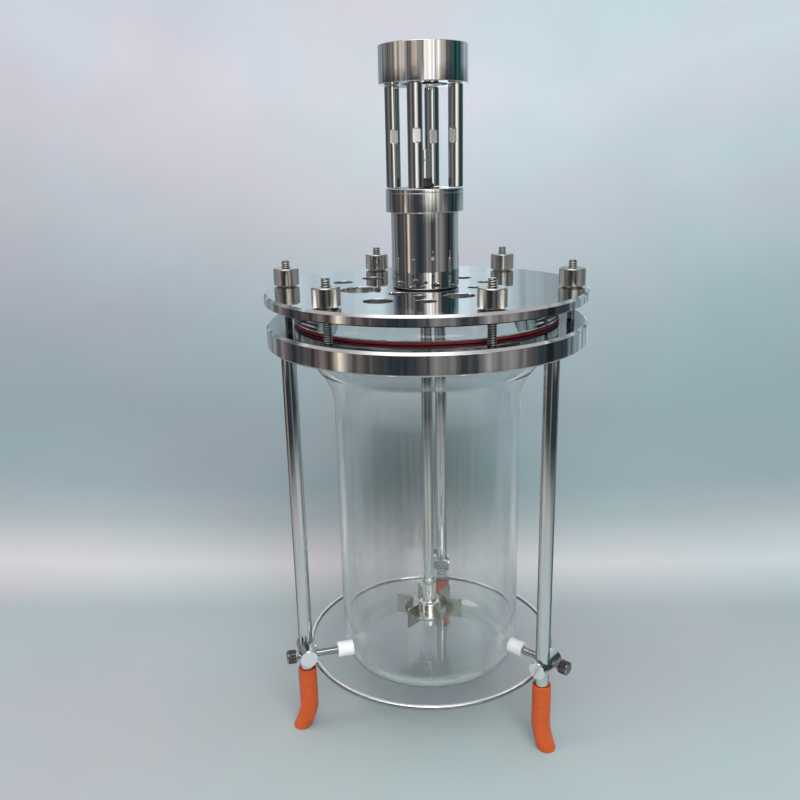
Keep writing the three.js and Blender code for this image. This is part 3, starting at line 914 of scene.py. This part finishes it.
def turbine():
    """Hub, disc and blades, welded as one: the hub in smoother steel whose much brighter colour is a
    painted highlight, the disc and blades in a darker steel that is painted shade.
    """
    hub = revolve(soften([
        (SHAFT_BORE, HUB_BOTTOM), (HUB_R, HUB_BOTTOM), (HUB_R, HUB_SHOULDER),
        (SLEEVE_R + 0.2, HUB_SHOULDER + 0.8), (SLEEVE_R, HUB_SHOULDER + 2),
        (SLEEVE_R, HUB_TOP), (SHAFT_BORE, HUB_TOP),
    ], 0.5), 64)
    inner = HUB_R - 0.5
    disc = revolve(soften([
        (inner, DISC_BOTTOM), (DISC_R, DISC_BOTTOM), (DISC_R, DISC_TOP), (inner, DISC_TOP),
    ], 0.3), 96)
    blades = [(blade(), turn(BLADE_PHASE + 360 / BLADES * k)) for k in range(BLADES)]
    whole = piece("turbine", merge(hub, disc, *blades), BLADED, "impeller")
    second_finish(whole, HUBBED, lambda face: face.center.xy.length / MM < HUB_R + 0.5)


def hub_grub():
    inner, outer, size, socket = 4.4, 5.5, 1.6, 0.8
    grub = revolve(soften([
        (0, inner), (size, inner), (size, outer), (socket, outer), (socket, inner + 0.5), (0, inner + 0.5),
    ], 0.12, 2), 24)
    place = at(0, 0, centre("impeller_grub_screw").z) @ turn(BLADE_PHASE - 90) @ turn(90, "Y")
    piece("hub_grub_screw", grub, TURNED, "impeller_grub_screw", place)


def end_nut():
    """A domed nut with a flange that holds the hub, hollow round the shaft's end."""
    bottom, top = 61.4, 68.2
    dome, flange, bore = 3.6, 5.2, 4.2
    under_flange, hollow = bottom + 3, top - 2.5
    nut = revolve(soften([
        (0, bottom), (2.4, bottom + 0.5), (dome, bottom + 2.2), (dome, under_flange),
        (flange, under_flange), (flange, top), (bore, top), (bore, hollow), (0, hollow),
    ], 0.4), 48)
    piece("shaft_end_nut", nut, POLISHED, "impeller_nut")


# ---------------------------------------------------------------- studio
CAMERA_HEADING = -83.0


# The few tones of the painted room that the paper shows only in reflections.
PAPER_GLOW = (0.58, 0.70, 0.77)
DUSK = (0.28, 0.34, 0.38)
SLATE = (0.20, 0.26, 0.30)
TEAL = (0.02, 0.08, 0.08)
DARK = (0.03, 0.04, 0.05)
UMBER = (0.13, 0.11, 0.11)
GREY = (0.24, 0.24, 0.24)
TAN = (0.40, 0.36, 0.31)
STONE = (0.52, 0.52, 0.48)
LAMP = (0.65, 0.57, 0.47)
WINDOW = (1.05, 1.05, 1.02)

# A painted reflection: what polished metal sees round the paper, by heading: 0.5 lies behind the camera,
# 0 and 1 behind the object.
LOW_ROOM = (
    (0.00, PAPER_GLOW), (0.08, DUSK), (0.20, UMBER), (0.22, DARK), (0.30, UMBER), (0.32, UMBER),
    (0.34, LAMP), (0.36, GREY), (0.38, UMBER), (0.43, DARK), (0.48, DARK), (0.52, GREY), (0.57, DARK),
    (0.61, GREY), (0.65, GREY), (0.72, DARK), (0.78, DARK), (0.83, SLATE), (1.00, PAPER_GLOW),
)
HIGH_ROOM = (
    (0.00, PAPER_GLOW), (0.10, DUSK), (0.23, UMBER), (0.28, GREY), (0.32, LAMP), (0.35, TAN),
    (0.37, WINDOW), (0.38, GREY), (0.41, UMBER), (0.45, LAMP), (0.47, GREY), (0.50, TAN),
    (0.51, WINDOW), (0.59, WINDOW), (0.64, STONE), (0.67, UMBER), (0.74, TEAL), (0.79, TEAL),
    (0.84, DUSK), (1.00, PAPER_GLOW),
)
MID_ROOM = (
    (0.00, PAPER_GLOW), (0.12, SLATE), (0.20, DARK), (0.30, UMBER), (0.37, GREY), (0.42, DARK),
    (0.48, UMBER), (0.51, WINDOW), (0.58, WINDOW), (0.62, TAN), (0.66, DARK), (0.82, TEAL),
    (0.90, DUSK), (1.00, PAPER_GLOW),
)
FAR_FLOOR = (
    (0.00, STONE), (0.16, UMBER), (0.22, DARK), (0.28, TAN), (0.33, DARK), (0.48, DARK),
    (0.52, GREY), (0.55, DARK), (0.74, DARK), (0.82, SLATE), (1.00, STONE),
)
NEAR_FLOOR = (
    (0.00, STONE), (0.10, UMBER), (0.22, DARK), (0.30, TAN), (0.38, STONE), (0.45, GREY),
    (0.50, GREY), (0.54, STONE), (0.60, STONE), (0.65, GREY), (0.74, DARK), (0.85, DARK),
    (0.93, DUSK), (1.00, STONE),
)
# How much of the painted room, a darker painted reflection, metal sees in the paper close beside the
# object, by heading.
DARK_SIDES = (
    (0.07, 0.0), (0.12, 0.6), (0.20, 0.6), (0.27, 0.0), (0.68, 0.0), (0.76, 0.7), (0.87, 0.7), (0.94, 0.0),
)
CEILING = (0.07, 0.07, 0.085)
WORLD_LEVEL = 0.5

# The paper, from the floor in front to its top behind, with painted light: a painted highlight in the pale
# band where the floor starts to curve up, and painted shade in the darker middle that brightens towards
# the top.
FLOOR_TONE = (0.47, 0.51, 0.52)
CURVE_FOOT_HIGHLIGHT = (0.75, 0.71, 0.72)
SEA_TONE = (0.36, 0.44, 0.46)
MIST_TONE = (0.47, 0.53, 0.56)
CLOUD_TONE = (0.65, 0.66, 0.70)
SKY_TONE = (0.90, 0.90, 0.95)
SWEEP_TONES = (
    (0.05, FLOOR_TONE), (0.15, FLOOR_TONE), (0.19, CURVE_FOOT_HIGHLIGHT), (0.24, FLOOR_TONE),
    (0.28, SEA_TONE), (0.38, SEA_TONE), (0.52, MIST_TONE), (0.65, CLOUD_TONE), (0.90, SKY_TONE),
)
LEFT_CAST, MIDDLE_CAST, RIGHT_CAST = (0.92, 0.90, 0.92), (0.95, 0.96, 0.96), (0.85, 0.94, 0.95)
ROSE_PATCH, GREEN_PATCH = (0.985, 0.935, 0.955), (0.905, 0.965, 0.955)
# A painted shade on the paper behind the vessel, deep where it shows through the glass and faint beside
# it.
SHADE_ACROSS, SHADE_RUN, SHADE_WIDE, SHADE_LONG = -0.02, 0.46, 0.15, 0.26
SHADE_DEPTH, SHADE_OPEN = 0.68, 0.25


def paper_places(n):
    """Where a point of the paper lies: away from the camera, across its view, up, out and by heading."""
    split = n.new("ShaderNodeSeparateXYZ")
    n.link(n.new("ShaderNodeNewGeometry").outputs["Position"], split.inputs["Vector"])
    x, y, height = split.outputs
    away = math.radians(CAMERA_HEADING + 180)
    depth = n.math("ADD", n.math("MULTIPLY", x, math.cos(away)), n.math("MULTIPLY", y, math.sin(away)))
    across = n.math("ADD", n.math("MULTIPLY", x, math.sin(away)), n.math("MULTIPLY", y, -math.cos(away)))
    far = n.math("SQRT", n.math("ADD", n.math("MULTIPLY", x, x), n.math("MULTIPLY", y, y)))
    turns = n.math("DIVIDE", n.math("ARCTAN2", y, x), 2 * math.pi)
    turns = n.math("ADD", turns, 0.5 - CAMERA_HEADING / 360)
    return SimpleNamespace(depth=depth, across=across, height=height, far=far, turns=turns,
                           heading=n.math("FRACT", turns))


def paper_shade(n, place, run):
    """The painted shade, falling off all round its middle."""
    u = n.math("DIVIDE", n.math("SUBTRACT", place.across, SHADE_ACROSS), SHADE_WIDE)
    v = n.math("DIVIDE", n.math("SUBTRACT", run, SHADE_RUN), SHADE_LONG)
    square = n.math("ADD", n.math("MULTIPLY", u, u), n.math("MULTIPLY", v, v))
    falloff = n.math("EXPONENT", n.math("MULTIPLY", square, -1.0))
    through_glass = n.new("ShaderNodeLightPath").outputs["Is Transmission Ray"]
    seen_depth = n.math("ADD", SHADE_OPEN, n.math("MULTIPLY", through_glass, SHADE_DEPTH - SHADE_OPEN))
    return n.math("SUBTRACT", 1.0, n.math("MULTIPLY", falloff, seen_depth))


def paper_color(n, place):
    """Pale blue-grey tones up the sweep that paint its light and shade, with a cast to each side, faint
    patches, grain and a painted shade behind the vessel.
    """
    start, length = 0.2, 2.2
    run = n.math("ADD", place.depth, place.height)
    tone = n.ramp(n.math("DIVIDE", n.math("ADD", run, start), length), SWEEP_TONES)
    side = n.rise(place.across, -0.5, 0.45)
    cast = n.ramp(side, ((0, LEFT_CAST), (0.5, MIDDLE_CAST), (1, RIGHT_CAST)))
    patches = n.ramp(n.noise(3.2, 5), ((0.40, ROSE_PATCH), (0.60, GREEN_PATCH)))
    grain = n.spread(n.noise(5, 8), 0.97, 1.03)
    # Grain times the painted shade behind the vessel.
    light = n.math("MULTIPLY", grain, paper_shade(n, place, run))
    return n.product(n.product(n.product(tone, cast), patches), light)


def room_color(n, place):
    """The painted room's walls in three heights, its floor in two rings, and its ceiling."""
    heading, height = place.heading, place.height
    walls = n.blend(n.rise(height, 0.30, 0.36), n.ramp(heading, LOW_ROOM), n.ramp(heading, MID_ROOM))
    walls = n.blend(n.rise(height, 0.56, 0.60), walls, n.ramp(heading, HIGH_ROOM))
    floor = n.blend(n.rise(place.far, 0.42, 0.56), n.ramp(heading, NEAR_FLOOR), n.ramp(heading, FAR_FLOOR))
    color = n.blend(n.rise(place.far, 0.76, 0.80), floor, walls)
    front = n.rise(place.depth, -0.3, -0.8)
    color = n.blend(n.math("MULTIPLY", n.rise(height, 0.75, 0.90), front), color, CEILING)
    top = n.math("MULTIPLY", n.rise(height, 1.2, 1.45), n.math("SUBTRACT", 1.0, front))
    return n.blend(top, color, (WORLD_LEVEL,) * 3)


def room_clutter(n, place):
    """Streaks of lighter and darker things round the painted room."""
    streaks = n.new("ShaderNodeTexNoise", noise_dimensions="1D", Scale=45, Detail=5)
    n.link(place.turns, streaks.inputs["W"])
    return n.spread(streaks.outputs["Fac"], 0.45, 1.6)


def room_share(n, place):
    """Where polished metal sees the painted room, on its own and through the glass."""
    path = n.new("ShaderNodeLightPath")
    through_glass = path.outputs["Is Transmission Ray"]
    darkness = n.ramp(place.heading, [(spot, (level,) * 3) for spot, level in DARK_SIDES])
    sides = n.math("MULTIPLY", darkness, n.rise(place.far, 0.15, 0.20))
    beyond = n.math("MAXIMUM", n.rise(place.far, 0.30, 0.62), sides)
    near = n.math("MULTIPLY", n.rise(place.far, 0.20, 0.30), 0.75)
    deep = n.math("MAXIMUM", near, n.rise(place.far, 0.45, 0.62))
    behind = n.math("SUBTRACT", place.depth, n.math("ABSOLUTE", place.across))
    inside = n.math("MULTIPLY", deep, n.math("LESS_THAN", behind, -0.13))
    seen = n.math("ADD", n.math("MULTIPLY", through_glass, inside),
                  n.math("MULTIPLY", n.math("SUBTRACT", 1.0, through_glass), beyond))
    return n.math("MULTIPLY", path.outputs["Is Glossy Ray"], seen)


def backdrop_material():
    """Matt paper; for glossy rays it also glows with a painted room, a painted reflection that polished
    metal and glass show.
    """
    n = Nodes("paper_sweep")
    n.set(Roughness=0.9, Specular_IOR_Level=0.1)
    place = paper_places(n)
    n.link(paper_color(n, place), n.shader.inputs["Base Color"])
    room = n.new("ShaderNodeEmission")
    n.link(room_color(n, place), room.inputs["Color"])
    n.link(room_clutter(n, place), room.inputs["Strength"])
    n.mixed_surface(room_share(n, place), n.shader.outputs["BSDF"], room.outputs["Emission"])
    return n.material


def studio():
    """A round paper sweep: flat under the object, then curving up on every side."""
    flat, rise, top, under = 300, 1150, 1500, 0.05
    outline = [(0, 0), (flat, 0), *arc(flat, rise, rise, -90, 0, 40)[1:], (flat + rise, top)]
    bm = bmesh.new()
    rings = [[bm.verts.new((0, 0, 0))]] + [ring(bm, r, z, 128) for r, z in outline[1:]]
    for lower, upper in zip(rings, rings[1:]):
        bridge(bm, lower, upper)
    bm.transform(Matrix.Scale(MM, 4) @ at(0, 0, -under))
    bmesh.ops.recalc_face_normals(bm, faces=bm.faces)
    for face in bm.faces:
        face.smooth = True
    sweep = mesh_object("paper_sweep", bm, backdrop_material())


def softbox(name, place, aim, size, power):
    """A soft lamp that lights the object and isn't mirrored in it."""
    light = bpy.data.lights.new(name, "AREA")
    light.shape = "RECTANGLE"
    light.size, light.size_y = size
    light.energy = power
    obj = bpy.data.objects.new(name, light)
    obj.location = place
    obj.rotation_euler = (Vector(aim) - Vector(place)).to_track_quat("-Z", "Y").to_euler()
    obj.visible_glossy = False
    bpy.context.scene.collection.objects.link(obj)


def glow_panel(name, place, spread, edge, middle):
    """A glowing panel overhead, brightest in the middle, that only polished metal and glass see: a painted
    reflection that casts no shadow.
    """
    n = Nodes(name)
    fade = n.new("ShaderNodeTexGradient", gradient_type="QUADRATIC_SPHERE")
    n.link(n.new("ShaderNodeTexCoord").outputs["Object"], fade.inputs["Vector"])
    cloth = n.new("ShaderNodeEmission")
    n.link(n.spread(fade.outputs["Fac"], edge, middle, 0.0, 0.4), cloth.inputs["Strength"])
    n.surface(cloth.outputs["Emission"])
    bm = bmesh.new()
    bmesh.ops.create_grid(bm, x_segments=1, y_segments=1, size=1)
    panel = mesh_object(name, bm, n.material)
    panel.matrix_world = at(*place) @ Matrix.Diagonal((*spread, 1, 1))
    panel.visible_camera = False
    panel.visible_diffuse = False
    panel.visible_shadow = False


def world():
    studio_world = bpy.data.worlds.new("studio")
    studio_world.use_nodes = True
    background = studio_world.node_tree.nodes["Background"]
    background.inputs["Color"].default_value = (1.0, 1.0, 1.0, 1)
    background.inputs["Strength"].default_value = WORLD_LEVEL
    bpy.context.scene.world = studio_world


def camera():
    """Looks a little down on the object from the front, turned slightly to its right."""
    data = bpy.data.cameras.new("camera")
    data.sensor_width = 36
    data.lens = 36.99
    data.clip_start = 0.01
    obj = bpy.data.objects.new("camera", data)
    place, heading, tilt, roll = (0.0689, -0.5586, 0.4094), 8.994, 73.615, -1.253
    obj.matrix_world = at(*place) @ turn(heading) @ turn(tilt, "X") @ turn(roll)
    bpy.context.scene.collection.objects.link(obj)
    bpy.context.scene.camera = obj


# ---------------------------------------------------------------- assembly
lid_plate()
clamp_ring()
vessel()
flat_seals()
for number in range(1, 7):
    threaded_stud(number)
    thumb_nut(number)
for number in (1, 2, 3):
    leg(number)
    foot_sleeve(number)
    clamp(number)
base_ring()
housing()
collar()
for number in (1, 2, 3, 4):
    pillar(number)
motor_ring()
ball_bearing("ball_bearing_upper", "bearing_upper")
ball_bearing("ball_bearing_lower", "bearing_lower")
bearing_cover()
lip_seal()
shaft_boot()
shaft()
cross_pin()
turbine()
hub_grub()
end_nut()
studio()
glow_panel("overhead_painted_reflection", (-0.08, -0.35, 1.4), (0.75, 0.7), WORLD_LEVEL, 1.6)
glow_panel("strip_painted_highlight", (0.0, -0.85, 1.39), (1.1, 0.14), 3.0, 10.0)
softbox("top_softbox", (0.1, -0.2, 1.45), (0, 0, 0.2), (1.3, 1.1), 7.5)
softbox("left_softbox", (-1.0, -0.5, 0.9), (0, 0, 0.3), (0.5, 0.9), 3.5)
softbox("front_softbox", (0.364, -1.0, 0.946), (0, 0, 0.2), (0.9, 0.9), 12)
world()
camera()
bpy.context.scene.view_settings.view_transform = "Standard"
